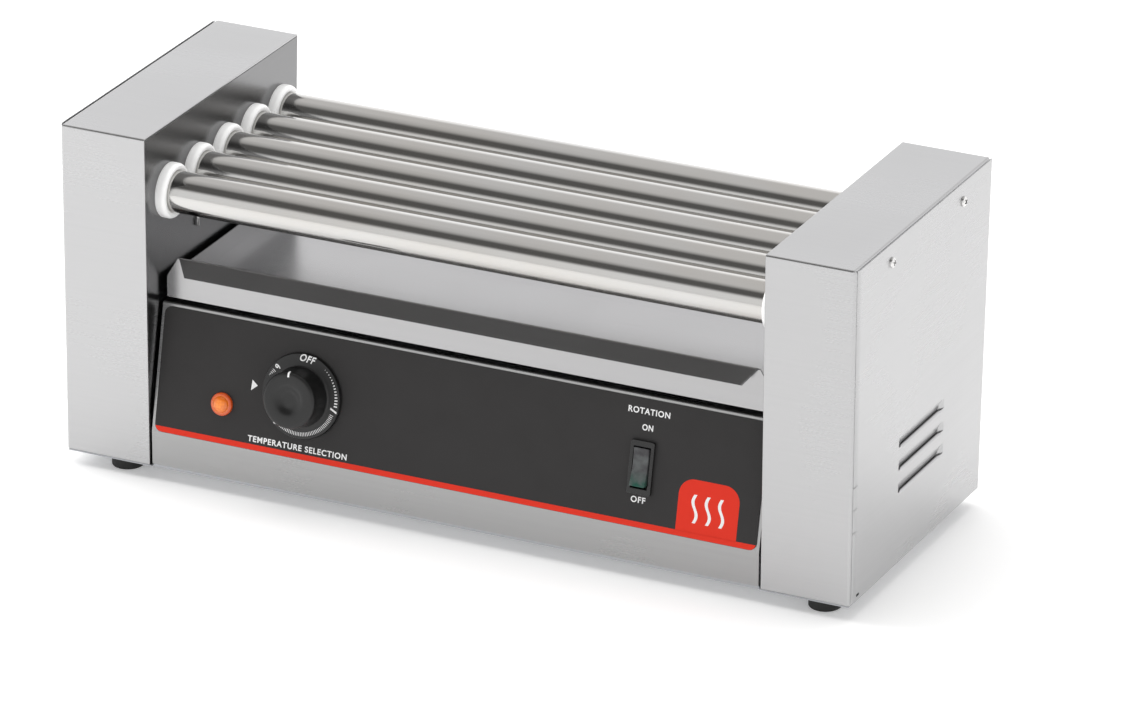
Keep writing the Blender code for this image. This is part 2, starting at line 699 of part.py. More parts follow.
def tray_mitre_mesh(side):
    """Cuts the end of the lip back as it comes forward."""
    inner = side * (TRAY_HALF - TRAY_CHAMFER[0])
    back, front = depth(TRAY_FRONT) - 0.0001, depth(TRAY_FRONT) - CUT
    far = inner - side * LIP_MITRE / LIP_REACH * CUT
    plan = [(inner, back), (far, front), (side * (TRAY_HALF + CUT), front), (side * (TRAY_HALF + CUT), back)]
    middle = height(TRAY_FLOOR + TRAY_PEAK)
    return lofted([[(x, y, z) for x, y in plan] for z in (middle - 2 * CUT, middle + CUT)])


def add_tray():
    tray = add("drip_tray", prism(tray_outline(), 2 * TRAY_HALF), STEEL, across(-TRAY_HALF))
    for name, side in (("left", -1), ("right", 1)):
        start = TRAY_HALF - TRAY_SHEET - 0.00005 if side > 0 else 0.00005 - TRAY_HALF
        shape(tray, "UNION", f"tray_wall_{name}", tray_wall_mesh(), across(start))
        shape(tray, "DIFFERENCE", f"tray_corner_{name}", tray_corner_mesh(side))
        shape(tray, "DIFFERENCE", f"tray_mitre_{name}", tray_mitre_mesh(side))


def add_deck():
    """The shelf that closes the base and carries the tray, with its sides turned down."""
    half = INNER_FACE - GAP
    low = DECK_TOP - DECK_SKIRT
    path = [(half, low), (half, DECK_TOP), (-half, DECK_TOP), (-half, low)]
    outline = thickened([(x, height(z)) for x, z in rounded(path, 0.0015, 2)], SHEET)
    front, rear = depth(0.037), depth(0.2035)
    outline = [(-x, z) for x, z in outline]
    add("tray_deck", prism(outline, rear - front), ZINC, along(0, front, 0))


def add_base():
    """The floor sheet: full width under the housings, and a shallow channel between them."""
    low, side = -0.0015, HALF_WIDTH - 0.0022
    middle, lip = INNER_FACE - 0.0010, 0.0030
    rear = HOUSING_DEPTH - REAR_LEAN - 0.0010
    outline = [(-side, 0.0006), (-middle, 0.0006), (-middle, lip), (middle, lip), (middle, 0.0006)]
    outline += [(side, 0.0006), (side, rear), (middle, rear), (middle, BASE_REAR - 0.0005)]
    outline += [(-middle, BASE_REAR - 0.0005), (-middle, rear), (-side, rear)]
    outline = [(x, depth(y)) for x, y in outline]
    base = add("base_pan", prism(outline, SHEET), ZINC, Matrix.Translation((0, 0, height(low))))
    path = [(BASE_REAR, BASE_LIP), (BASE_REAR, low - 0.0002), (0.0023, low - 0.0002), (0.0023, BASE_LIP)]
    path = [(depth(y), height(z)) for y, z in path]
    channel = prism(thickened(path[::-1], SHEET), 2 * PANEL_HALF)
    shape(base, "UNION", "base_channel", channel, across(-PANEL_HALF))


def add_rear_panel():
    tall = PANEL_TOP - PANEL_BOTTOM
    outline = rectangle((0, PANEL_BOTTOM + tall / 2), 2 * PANEL_HALF, tall)
    hole = circle((-GLAND_AT[0], GLAND_AT[1]), 0.0085 + GAP, 20)
    panel = prism(outline, SHEET, [hole])
    start = depth(BASE_REAR + GAP)
    add("rear_panel", panel, STEEL, along(0, start, FLOOR))

    profile = [(GLAND_BORE, -0.010), (0.0085, -0.010), (0.0085, SHEET + GAP), (0.0120, SHEET + GAP)]
    profile += [(0.0120, 0.0040), (0.0095, 0.0060), (0.0090, 0.0130), (GLAND_BORE, 0.0130)]
    gland = turned(profile, 20, closed=True)
    add("cord_gland", gland, BLACK_PLASTIC, along(GLAND_AT[0], start, height(GLAND_AT[1])))


def add_feet():
    top = FLOOR - 0.0015 - GAP
    profile = [(0, 0), (FOOT_RADIUS - 0.0014, 0), (FOOT_RADIUS - 0.0004, 0.0004), (FOOT_RADIUS, 0.0014)]
    profile += [(FOOT_RADIUS, top - 0.0005), (FOOT_RADIUS - 0.0004, top), (0, top)]
    starts = {"left": -HALF_WIDTH, "right": INNER_FACE}
    for row, back in zip(("front", "rear"), FOOT_DEPTHS):
        for side, start in starts.items():
            place = Matrix.Translation((start + FOOT_IN, depth(back), 0))
            add(f"foot_{row}_{side}", turned(profile, 20), BLACK_RUBBER, place)


def main():
    for obj in list(bpy.data.objects):
        bpy.data.objects.remove(obj)
    for name, side in (("left", -1), ("right", 1)):
        add_housing(name, side)
    for number, centre in enumerate(roller_centres(), 1):
        add_bushing(f"left_bushing_{number}", -1, centre)
        add_bushing(f"right_bushing_{number}", 1, centre)
        add_roller(number, centre)
        add_heater(number, centre)
    add_heater_bracket("left_element_bracket", BRACKET_LEFT)
    add_heater_bracket("right_element_bracket", BRACKET_RIGHT)
    add_drive()
    plane = panel_frame()
    add_front_panel(plane)
    add_overlay(plane)
    add_knob(plane)
    add_lamp(plane)
    add_switch(plane)
    add_tray()
    add_deck()
    add_base()
    add_rear_panel()
    add_feet()


main()
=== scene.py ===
"""Looks for the countertop hot dog roller grill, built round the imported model.

Metres, +Z up, the front faces -Y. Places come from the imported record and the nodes' boxes.
"""

import json
import math

import bmesh
import bpy
from mathutils import Matrix, Vector

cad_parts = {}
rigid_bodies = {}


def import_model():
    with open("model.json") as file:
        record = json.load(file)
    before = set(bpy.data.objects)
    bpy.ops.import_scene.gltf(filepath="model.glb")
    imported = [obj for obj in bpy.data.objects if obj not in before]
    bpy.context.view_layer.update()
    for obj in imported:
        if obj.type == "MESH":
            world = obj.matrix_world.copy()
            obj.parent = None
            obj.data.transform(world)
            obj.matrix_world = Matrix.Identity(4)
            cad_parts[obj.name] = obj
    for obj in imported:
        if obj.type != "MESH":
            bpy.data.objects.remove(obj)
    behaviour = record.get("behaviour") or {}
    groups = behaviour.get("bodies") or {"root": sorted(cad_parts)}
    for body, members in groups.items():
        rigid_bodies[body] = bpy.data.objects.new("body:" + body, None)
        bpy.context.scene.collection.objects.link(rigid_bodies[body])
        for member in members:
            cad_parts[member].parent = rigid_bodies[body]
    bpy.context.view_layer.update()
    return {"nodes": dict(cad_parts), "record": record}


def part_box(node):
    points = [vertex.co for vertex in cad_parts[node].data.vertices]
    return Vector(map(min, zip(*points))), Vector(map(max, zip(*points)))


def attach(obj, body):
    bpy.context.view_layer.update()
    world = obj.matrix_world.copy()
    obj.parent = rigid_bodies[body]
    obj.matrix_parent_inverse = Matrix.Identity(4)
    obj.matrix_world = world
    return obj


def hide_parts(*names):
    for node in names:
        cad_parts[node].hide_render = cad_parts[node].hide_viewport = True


for leftover in list(bpy.data.objects):
    bpy.data.objects.remove(leftover)

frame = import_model()
NODES = frame["nodes"]
RECORD = frame["record"]
BODIES = {node: body for body, nodes in RECORD["behaviour"]["bodies"].items() for node in nodes}
JOINTS = {joint["name"]: joint for joint in RECORD["behaviour"]["joints"]}

CAMERA_AT = (2.14377, -4.39816, 2.18154)
CAMERA_AHEAD = (-0.39663, 0.82965, -0.39289)
CAMERA_ROLL = math.radians(0.284)
LENS = 250.0

HALF_WIDTH = 0.290
INNER_FACE = 0.2255
HOUSING_MIDDLE = 0.0079

# Local Z becomes X, local X becomes Y and local Y becomes Z
ACROSS = Matrix(((0, 0, 1), (1, 0, 0), (0, 1, 0))).to_4x4()
# Local Z becomes Y
ALONG = Matrix(((-1, 0, 0), (0, 0, 1), (0, 1, 0))).to_4x4()


# ---------------------------------------------------------------- shader nodes


def principled(name, sockets):
    """A material, its node tree and its shader with some sockets set."""
    made = bpy.data.materials.new(name)
    made.use_nodes = True
    shader = made.node_tree.nodes["Principled BSDF"]
    for key, value in sockets.items():
        shader.inputs[key].default_value = (*value, 1.0) if isinstance(value, tuple) else value
    return made, made.node_tree, shader


def put(tree, kind, inputs, **settings):
    """A new node whose inputs are either linked to a socket or set to a value."""
    made = tree.nodes.new(kind)
    for key, value in settings.items():
        setattr(made, key, value)
    for key, value in inputs.items():
        if isinstance(value, bpy.types.NodeSocket):
            tree.links.new(value, made.inputs[key])
        else:
            made.inputs[key].default_value = value
    return made


def noise(tree, scale, detail=2.0, distortion=0.0):
    """Noise in the object's own metres, with a scale for each axis."""
    where = put(tree, "ShaderNodeTexCoord", {}).outputs["Object"]
    stretched = put(tree, "ShaderNodeMapping", {"Vector": where, "Scale": scale}).outputs["Vector"]
    inputs = {"Vector": stretched, "Scale": 1.0, "Detail": detail, "Distortion": distortion}
    return put(tree, "ShaderNodeTexNoise", inputs).outputs["Fac"]


def ranged(tree, value, low, high, new_low, new_high):
    """A value carried from one range to another, and clamped."""
    inputs = {"Value": value, "From Min": low, "From Max": high, "To Min": new_low, "To Max": new_high}
    return put(tree, "ShaderNodeMapRange", inputs).outputs["Result"]


def mixed(tree, factor, first, second):
    """A blend of two colours by a factor; inputs 6 and 7 are the mix node's colours."""
    made = put(tree, "ShaderNodeMix", {}, data_type="RGBA")
    tree.links.new(factor, made.inputs[0])
    for index, colour in ((6, first), (7, second)):
        if isinstance(colour, bpy.types.NodeSocket):
            tree.links.new(colour, made.inputs[index])
        else:
            made.inputs[index].default_value = (*colour, 1.0)
    return made.outputs[2]


def added(tree, first, second):
    return put(tree, "ShaderNodeMath", {0: first, 1: second}, operation="ADD").outputs[0]


def bumped(tree, shader, height, distance, strength=1.0):
    inputs = {"Height": height, "Distance": distance, "Strength": strength}
    normal = put(tree, "ShaderNodeBump", inputs).outputs["Normal"]
    tree.links.new(normal, shader.inputs["Normal"])


def scaled(colour, factor):
    return tuple(channel * factor for channel in colour)


def grain_scale(axis, lengthwise, crosswise):
    """Noise scales, per metre, for marks drawn out along one axis."""
    return tuple(lengthwise if axis == k else crosswise for k in range(3))


def brushed(name, colour, axis, roughness, relief=0.0, smudge=0.03):
    """Steel brushed along one axis: fine scratches, broader streaks and faint handling marks."""
    made, tree, shader = principled(name, {"Metallic": 1.0})
    fine = noise(tree, grain_scale(axis, 9.0, 1100.0), 2.0)
    streak = noise(tree, grain_scale(axis, 4.0, 420.0), 3.0)
    cloud = noise(tree, (8.0, 8.0, 8.0), 2.0, 0.4)
    tint = ranged(tree, streak, 0.3, 0.7, 0.0, 1.0)
    colour_now = mixed(tree, tint, scaled(colour, 0.985), scaled(colour, 1.01))
    tree.links.new(colour_now, shader.inputs["Base Color"])
    rough = ranged(tree, fine, 0.25, 0.75, roughness - 0.01, roughness + 0.01)
    worn = ranged(tree, cloud, 0.35, 0.75, -smudge / 2, smudge)
    tree.links.new(added(tree, rough, worn), shader.inputs["Roughness"])
    if relief:
        bumped(tree, shader, fine, relief)
    return made


def polished(name, colour, roughness, ring=900.0):
    """Drawn and polished tube: faint rings round its own Z and long soft marks along it."""
    made, tree, shader = principled(name, {"Metallic": 1.0})
    rings = noise(tree, (4.0, 4.0, ring), 2.0)
    wipe = noise(tree, (120.0, 120.0, 3.0), 2.0)
    cloud = noise(tree, (24.0, 24.0, 7.0), 3.0, 0.4)
    tint = ranged(tree, cloud, 0.35, 0.75, 0.0, 1.0)
    warm = (colour[0] * 0.97, colour[1] * 0.94, colour[2] * 0.90)
    tree.links.new(mixed(tree, tint, colour, warm), shader.inputs["Base Color"])
    rough = ranged(tree, wipe, 0.3, 0.7, roughness - 0.02, roughness + 0.03)
    film = ranged(tree, cloud, 0.4, 0.8, 0.0, 0.05)
    tree.links.new(added(tree, rough, film), shader.inputs["Roughness"])
    bumped(tree, shader, rings, 0.000002)
    return made


def plastic(name, colour, roughness, texture=0.0, **more):
    """Moulded or printed plastic, with a fine moulded grain where its height is given."""
    sockets = {"Base Color": colour, "Roughness": roughness, **more}
    made, tree, shader = principled(name, sockets)
    if texture:
        bumped(tree, shader, noise(tree, (2600.0,) * 3, 2.0), texture)
        cloud = noise(tree, (45.0,) * 3, 3.0)
        rough = ranged(tree, cloud, 0.3, 0.75, roughness - 0.05, roughness + 0.07)
        tree.links.new(rough, shader.inputs["Roughness"])
    return made


def amber_look():
    """A lit lamp lens: brightest in the middle, with moulded facets."""
    sockets = {"Roughness": 0.12, "IOR": 1.5, "Coat Weight": 0.6, "Coat Roughness": 0.05}
    made, tree, shader = principled("amber_lens_look", {**sockets, "Emission Strength": 0.22})
    where = put(tree, "ShaderNodeTexCoord", {}).outputs["Object"]
    inputs = {"Vector": where, "Scale": 480.0, "Randomness": 0.55}
    cell = put(tree, "ShaderNodeTexVoronoi", inputs, feature="F1").outputs["Distance"]
    reach = put(tree, "ShaderNodeVectorMath", {0: where}, operation="LENGTH").outputs["Value"]
    middle_light = ranged(tree, reach, 0.0045, 0.0072, 1.0, 0.0)
    facets = ranged(tree, cell, 0.0, 0.75, 1.0, 0.55)
    light = put(tree, "ShaderNodeMath", {0: middle_light, 1: facets}, operation="MULTIPLY").outputs[0]
    colour = mixed(tree, light, (0.50, 0.060, 0.003), (0.96, 0.29, 0.014))
    tree.links.new(colour, shader.inputs["Base Color"])
    tree.links.new(colour, shader.inputs["Emission Color"])
    bumped(tree, shader, cell, 0.0002, 0.25)
    return made


def rocker_look():
    """Smoked translucent plastic with green showing through its lower half."""
    sockets = {"Roughness": 0.20, "IOR": 1.5, "Specular IOR Level": 0.22}
    made, tree, shader = principled("rocker_look", sockets)
    where = put(tree, "ShaderNodeTexCoord", {}).outputs["Object"]
    up = put(tree, "ShaderNodeSeparateXYZ", {"Vector": where}).outputs["X"]  # the cap's own X runs up it
    green = ranged(tree, up, -0.012, -0.002, 1.0, 0.0)
    base = mixed(tree, green, (0.052, 0.050, 0.054), (0.020, 0.088, 0.064))
    cloud = ranged(tree, noise(tree, (160.0, 160.0, 160.0), 2.0), 0.35, 0.7, 0.0, 1.0)
    colour = mixed(tree, cloud, base, (0.105, 0.112, 0.112))
    tree.links.new(colour, shader.inputs["Base Color"])
    return made


SHEET_STEEL = (0.47, 0.47, 0.474)
PRINT = {"Specular IOR Level": 0.22}
PTFE_PAINTED_GLOW = {  # painted glow: a faint white emission that brightens the bushings, in place of light that soaks into the plastic
    "Emission Color": (1.0, 1.0, 1.0), "Emission Strength": 0.10,
}
LOOKS = {
    "steel_x": brushed("steel_grain_x", SHEET_STEEL, 0, 0.28),
    "steel_y": brushed("steel_grain_y", SHEET_STEEL, 1, 0.28),
    # the front panel: the sheet steel darkened as painted shade, for the shade near the floor
    "panel_shade_x": brushed("steel_panel_painted_shade_x", (0.36, 0.36, 0.36), 0, 0.28),
    # the inner panels: polished steel, its colour darkened as painted shade for the shadowed space beside
    # the tray
    "polished_shade_y": brushed("steel_polished_painted_shade_y", (0.215, 0.215, 0.218), 1, 0.24),
    "tray": brushed("steel_tray", (0.40, 0.398, 0.402), 0, 0.24),
    "roller": polished("roller_polish", (0.58, 0.575, 0.565), 0.12),
    "screw": polished("screw_steel", (0.72, 0.72, 0.72), 0.18, 4000.0),
    "zinc": brushed("zinc_plate", (0.42, 0.43, 0.45), 0, 0.42, 0.000006, 0.12),
    # white bushings, brightened by a painted glow
    "ptfe": plastic("ptfe_white", (0.96, 0.96, 0.955), 0.28, **PTFE_PAINTED_GLOW),
    "black": plastic("black_satin", (0.007, 0.007, 0.007), 0.38, 0.00001),
    "gloss": plastic("black_gloss", (0.010, 0.010, 0.010), 0.16),
    "film": plastic("panel_film_print", (0.030, 0.0285, 0.0285), 0.52, 0.000008, **PRINT),
    "rubber": plastic("foot_rubber", (0.014, 0.014, 0.014), 0.70, 0.00003),
    "red": plastic("print_red", (0.72, 0.028, 0.010), 0.50, 0.0, **PRINT),
    "white": plastic("print_white", (0.86, 0.86, 0.86), 0.55, 0.0, **PRINT),
    # painted shade: near-black for the insides of screw recesses and slots
    "dark": plastic("recess_painted_shade", (0.01, 0.01, 0.01), 0.80),
    "amber": amber_look(),
    "rocker": rocker_look(),
}


# ---------------------------------------------------------------- meshes


def turned(profile, sides, closed=False):
    """A profile of (radius, height) spun about local Z; a closed profile makes a ring."""
    bm = bmesh.new()
    verts = [bm.verts.new((r, 0, h)) for r, h in profile]
    edges = [bm.edges.new(pair) for pair in zip(verts, verts[1:])]
    if closed:
        edges.append(bm.edges.new((verts[-1], verts[0])))
    bmesh.ops.spin(
        bm, geom=verts + edges, cent=(0, 0, 0), axis=(0, 0, 1), angle=2 * math.pi, steps=sides,
        use_merge=True,
    )
    bmesh.ops.remove_doubles(bm, verts=bm.verts, dist=1e-6)
    bmesh.ops.recalc_face_normals(bm, faces=bm.faces)
    return bm


def arc(centre, radius, start, end, steps):
    """Points (radius, height) along part of a circle, with angles in degrees."""
    turns = [math.radians(start + (end - start) * k / steps) for k in range(steps + 1)]
    return [(centre[0] + radius * math.cos(t), centre[1] + radius * math.sin(t)) for t in turns]


def flat(outlines, thickness):
    """Flat outlines in local XY, each pushed out along local Z."""
    bm = bmesh.new()
    for outline in outlines:
        face = bm.faces.new([bm.verts.new((x, y, 0)) for x, y in outline])
        pushed = bmesh.ops.extrude_face_region(bm, geom=[face])["geom"]
        moved = [v for v in pushed if isinstance(v, bmesh.types.BMVert)]
        bmesh.ops.translate(bm, verts=moved, vec=(0, 0, thickness))
    bmesh.ops.recalc_face_normals(bm, faces=bm.faces)
    return bm


def piece(name, bm, look, body, place=Matrix(), stands_for=(), sharp=35):
    """One visible object that rides a body; edges past the sharp angle (degrees) stay crisp."""
    mesh = bpy.data.meshes.new(name)
    bm.to_mesh(mesh)
    bm.free()
    mesh.materials.append(LOOKS[look])
    mesh.shade_smooth()
    mesh.set_sharp_from_angle(angle=math.radians(sharp))
    obj = bpy.data.objects.new(name, mesh)
    bpy.context.scene.collection.objects.link(obj)
    obj.matrix_world = place
    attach(obj, body)
    if stands_for:
        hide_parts(*stands_for)
    return obj


def bevelled(obj, width, segments=2, angle=50):
    edges = obj.modifiers.new("edges", "BEVEL")
    edges.width = width
    edges.segments = segments
    edges.limit_method = "ANGLE"
    edges.angle_limit = math.radians(angle)
    return levelled(obj)


def levelled(obj):
    """Keeps wide flat faces flat where they meet small bends."""
    weights = obj.modifiers.new("weights", "WEIGHTED_NORMAL")
    weights.weight = 90
    weights.keep_sharp = True
    return obj


def refined(node, look, width=0.00025):
    """A welded copy of a CAD sheet with its cut edges eased, in place of the faceted node."""
    bm = bmesh.new()
    bm.from_mesh(NODES[node].data)
    bmesh.ops.remove_doubles(bm, verts=bm.verts, dist=1e-6)
    bmesh.ops.dissolve_limit(bm, angle_limit=math.radians(0.5), verts=bm.verts, edges=bm.edges)
    obj = piece(f"{node}_sheet", bm, look, BODIES[node], Matrix(), [node])
    return bevelled(obj, width)


def middle(node):
    """The centre of a CAD node's box."""
    low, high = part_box(node)
    return (low + high) / 2


def across(x, y, z):
    """A place whose local Z runs along X."""
    return Matrix.Translation((x, y, z)) @ ACROSS


# ---------------------------------------------------------------- housings


LOUVRE_CUTS = (0.0622, 0.0783, 0.0944)  # heights
LOUVRE_HALF = 0.0370  # half the length of a pressing
LOUVRE_LIP = 0.0300  # half the length of its open edge
LOUVRE_RISE = 0.0075
LOUVRE_SINK = 0.0028
LOUVRE_SOFTNESS = 0.25  # how far from a crease it is rounded, as a share of the depth
LOUVRE_STEPS = 8
LOUVRE_DROP = 0.0026  # how far a pressing's open edge hangs below its cut
# How far under a cut, and how deep: the edge below it curls inwards
LOUVRE_SHOULDER = ((0.0021, 0.0), (0.0014, 0.00012), (0.0008, 0.00045), (0.0003, 0.0010), (0.0, 0.0017))
SHOULDER_FADE = 0.003
COVER_THICKNESS = 0.0010
COVER_BEND = (0.0050, 0.0013)  # how far back the bent front edge starts, and how deep it goes
REAR_LEAN = 0.0098  # how much further forward the rear edge is at the bottom
COLUMN_MARGIN = 0.002


def sunk(reach, rise):
    """How deep the pressing is at a distance from its middle and a rise above its cut."""
    slope = 1.0 - rise / LOUVRE_RISE
    end = (LOUVRE_HALF - reach) / (LOUVRE_HALF - LOUVRE_LIP)
    share = min(slope, end, 1.0)
    gap = abs(slope - end)
    if gap < LOUVRE_SOFTNESS:
        share -= (LOUVRE_SOFTNESS - gap) ** 2
    return LOUVRE_SINK * max(share, 0.0)


def cover_rows(low, high):
    """(height, rise above a cut or None, shoulder) for each row of the cover, upwards.

    Two rows share each cut. A shoulder is how far the sheet under the cut is drawn in with it.
    """
    rows = [(low, None, 0.0)]
    for level in LOUVRE_CUTS:
        rows += [(level - back, None, deep) for back, deep in LOUVRE_SHOULDER]
        rises = [LOUVRE_RISE * k / LOUVRE_STEPS for k in range(LOUVRE_STEPS + 1)]
        rows += [(level + rise, rise, 0.0) for rise in rises]
    rows.append((high, None, 0.0))
    return rows


def cover_columns(front, rear, centre):
    """(depth, share of the rear edge's lean, how deep the bent front edge is) for each column."""
    back, deep = COVER_BEND
    turns = [math.radians(a) for a in range(0, 91, 10)]
    columns = [(front + back * (1 - math.cos(t)), 0.0, deep * (1 - math.sin(t))) for t in turns]
    end = LOUVRE_HALF - LOUVRE_LIP
    ends = [LOUVRE_LIP + end * k / LOUVRE_STEPS for k in range(LOUVRE_STEPS + 1)]
    reaches = ends + [LOUVRE_HALF + COLUMN_MARGIN]
    columns += [(centre - reach, 0.0, 0.0) for reach in reaches[::-1]]
    columns += [(centre + reach, 0.0, 0.0) for reach in reaches]
    columns.append((rear, 1.0, 0.0))
    return columns


def side_cover(name, side):
    """A sheet with a bent front edge and three louvres pressed inwards, each open along its cut."""
    node = f"{name}_side_cover"
    low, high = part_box(node)
    face = side * HALF_WIDTH
    centre = HOUSING_MIDDLE
    bm = bmesh.new()
    grid = []
    for z, rise, shoulder in cover_rows(low.z, high.z):
        row = []
        for y, lean, bend in cover_columns(low.y, high.y, centre):
            reach = abs(y - centre)
            inside = (LOUVRE_HALF - SHOULDER_FADE - reach) / SHOULDER_FADE
            deep = bend + shoulder * min(max(inside, 0.0), 1.0)
            if rise is not None and reach <= LOUVRE_HALF:
                deep += sunk(reach, rise)
            height = z - (LOUVRE_DROP * deep / LOUVRE_SINK if rise == 0.0 else 0.0)
            at = y - lean * REAR_LEAN * (high.z - z) / (high.z - low.z)
            row.append(bm.verts.new((face - side * deep, at, height)))
        grid.append((rise, row))
    for (_, lower), (rise, upper) in zip(grid, grid[1:]):
        if rise == 0.0:
            continue  # a cut: outside the pressing its two rows merge below
        for k in range(len(lower) - 1):
            bm.faces.new((lower[k], lower[k + 1], upper[k + 1], upper[k]))
    bmesh.ops.remove_doubles(bm, verts=bm.verts, dist=1e-7)
    bmesh.ops.recalc_face_normals(bm, faces=bm.faces)
    obj = piece(f"{name}_cover_pressing", bm, "steel_y", "frame", stands_for=[node], sharp=17)
    sheet = obj.modifiers.new("sheet", "SOLIDIFY")
    sheet.thickness = COVER_THICKNESS
    sheet.offset = -1
    return levelled(obj)


def domed_head(head, rise):
    """A screw's head on local Z: a short rim under a dome."""
    rim = 0.0007
    turns = [math.radians(a) for a in range(0, 90, 15)]
    dome = [(head * math.cos(t), rim + (rise - rim) * math.sin(t)) for t in turns]
    return turned([(head, 0.0), *dome, (0, rise)], 40)


def cross(arm, half, z, deep):
    """A dark cross painted as the shade inside a driver's recess, from its arms' reach and half their
    width.
    """
    quarter = [(half, -arm), (half, -half), (arm, -half)]
    outline = []
    for _ in range(4):
        outline += quarter
        quarter = [(-y, x) for x, y in quarter]
    bm = flat([outline], deep)
    bmesh.ops.translate(bm, verts=bm.verts, vec=(0, 0, z))
    return bm


def screw(name, place, stands_for=(), head=0.0036, rise=0.0021):
    piece(name, domed_head(head, rise), "screw", "frame", place, stands_for, 40)
    # painted shade: the recess is a thin dark cross set into the head, not cut into it
    recess = cross(head * 0.50, head * 0.10, rise - 0.00030, 0.00034)
    piece(f"{name}_recess", recess, "dark", "frame", place)


def housings():
    """Both housings' sheets, and the screws of their side covers."""
    for name, side in (("left", -1), ("right", 1)):
        refined(f"{name}_housing_wrap", "steel_x")
        # polished steel darkened as painted shade
        refined(f"{name}_inner_panel", "polished_shade_y", 0.0001)
        side_cover(name, side)
        for k in (1, 2):
            node = f"{name}_cover_screw_{k}"
            centre = middle(node)
            flip = Matrix.Rotation(math.pi, 4, "X") if side < 0 else Matrix()
            turn = Matrix.Rotation(math.radians(20 + 50 * k), 4, "Z")  # no two recesses line up
            place = across(side * HALF_WIDTH, centre.y, centre.z) @ flip @ turn
            screw(f"{name}_cover_screw_head_{k}", place, [node])


# ---------------------------------------------------------------- rollers


def rollers():
    """Five tubes with eased ends, each in a bushing at both ends."""
    wall, ease = 0.0010, 0.0004
    for number in range(1, 6):
        node = f"roller_{number}"
        low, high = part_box(node)
        centre, radius = (low + high) / 2, (high.z - low.z) / 2
        length, inner = high.x - low.x, radius - wall
        ends = arc((radius - ease, length - ease), ease, 0, 90, 3)
        tube = turned([(inner, 0), (radius, 0), *ends, (inner, length)], 72, closed=True)
        place = across(low.x, centre.y, centre.z)
        piece(f"{node}_tube", tube, "roller", BODIES[node], place, [node])
        for name, side in (("left", -1), ("right", 1)):
            bushing(f"{name}_bushing_{number}", side, radius)


def bushing(node, side, bore):
    """A moulded ring with a round shoulder, and a shallow groove where it meets the roller."""
    low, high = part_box(node)
    centre, radius = (low + high) / 2, (high.z - low.z) / 2
    face = INNER_FACE + 0.0003
    stand = (high.x + face) if side < 0 else (face - low.x)
    inner = bore + 0.00012
    shoulder, ease, neck = 0.0030, 0.0008, radius - 0.0030
    profile = [(inner, -0.0060), (neck, -0.0060), (neck, 0.0), (radius - 0.0006, 0.0)]
    profile += arc((radius - ease, ease), ease, -60, 0, 3)
    profile += arc((radius - shoulder, stand - shoulder), shoulder, 0, 75, 8)
    profile += [(inner + 0.0009, stand - 0.0002), (inner + 0.0004, stand - 0.0006)]
    profile.append((inner, stand - 0.0012))
    place = across(side * face, centre.y, centre.z)
    if side > 0:
        place = place @ Matrix.Rotation(math.pi, 4, "X")
    ring = turned(profile, 64, closed=True)
    piece(f"{node}_ring", ring, "ptfe", "frame", place, [node], 50)


# ---------------------------------------------------------------- control panel

KNOB = JOINTS["knob_turn"]
KNOB_AXIS = Vector(KNOB["axis"]).normalized()
LEAN = math.asin(KNOB_AXIS.z)
TILT = Matrix.Rotation(math.pi / 2 - LEAN, 4, "X")
KNOB_ACROSS, KNOB_UP = KNOB["pos_m"][0], 0.0440  # places on the panel: across it and up its slope
PANEL_SEAT = 0.0010  # how far out of the panel's plane the knob and lamp sit
FILM_TOP = 0.0007
INK = FILM_TOP + 0.00003
INK_DEEP = 0.00002
FILM_HALF = 0.2215
FILM_LOW = 0.0006
FILM_CORNER = 0.0050
LAMP_AT = (-0.1726, 0.0278)
BAND_TOP = 0.0046
TAB_LOW, TAB_HIGH, TAB_LEFT, TAB_RIGHT, TAB_CORNER = 0.0044, 0.0400, 0.1635, 0.2070, 0.0110
HEAT_LINES = (0.18525, 0.0095, 0.0110, 0.0300)  # the middle one's place, their spacing, foot and top
LETTERS = 0.0042
ROCKER_REST = -5  # degrees out of level, half its travel


def on_panel(x, up, out=0.0):
    """Local X across the leaning panel, local Y up its slope and local Z out of it."""
    at = Matrix.Translation(Vector(KNOB["pos_m"])) @ TILT
    return at @ Matrix.Translation((x - KNOB_ACROSS, up - KNOB_UP, out))


def lettering(name, text, width, tall, slant=0.0):
    """A mesh of letters, stretched to a width and a capital height and centred."""
    curve = bpy.data.curves.new(name, "FONT")
    curve.body = text
    curve.shear = slant
    curve.offset = 0.025
    curve.space_character = 1.14
    curve.align_x = "LEFT"
    source = bpy.data.objects.new(name, curve)
    mesh = bpy.data.meshes.new_from_object(source)
    bpy.data.objects.remove(source)
    xs, ys = [v.co.x for v in mesh.vertices], [v.co.y for v in mesh.vertices]
    bm = bmesh.new()
    bm.from_mesh(mesh)
    for vert in bm.verts:
        vert.co.x = ((vert.co.x - min(xs)) / (max(xs) - min(xs)) - 0.5) * width
        vert.co.y = ((vert.co.y - min(ys)) / (max(ys) - min(ys)) - 0.5) * tall
    return bm


def label(name, text, centre, width):
    """A word printed on the film."""
    place = on_panel(*centre, FILM_TOP + 0.00004)
    piece(name, lettering(name, text, width, LETTERS), "white", "frame", place)


def stripe_outline(top):
    """The printed band along the film's lower edge, with the film's own rounded corners."""
    inner, low = FILM_HALF - FILM_CORNER, FILM_LOW + FILM_CORNER
    reach = FILM_CORNER - 0.0002
    start = math.degrees(math.asin((top - low) / reach)) if top < low else 0
    right = arc((inner, low), reach, start, -90, 8)
    left = [(-x, y) for x, y in right[::-1]]
    return right + left


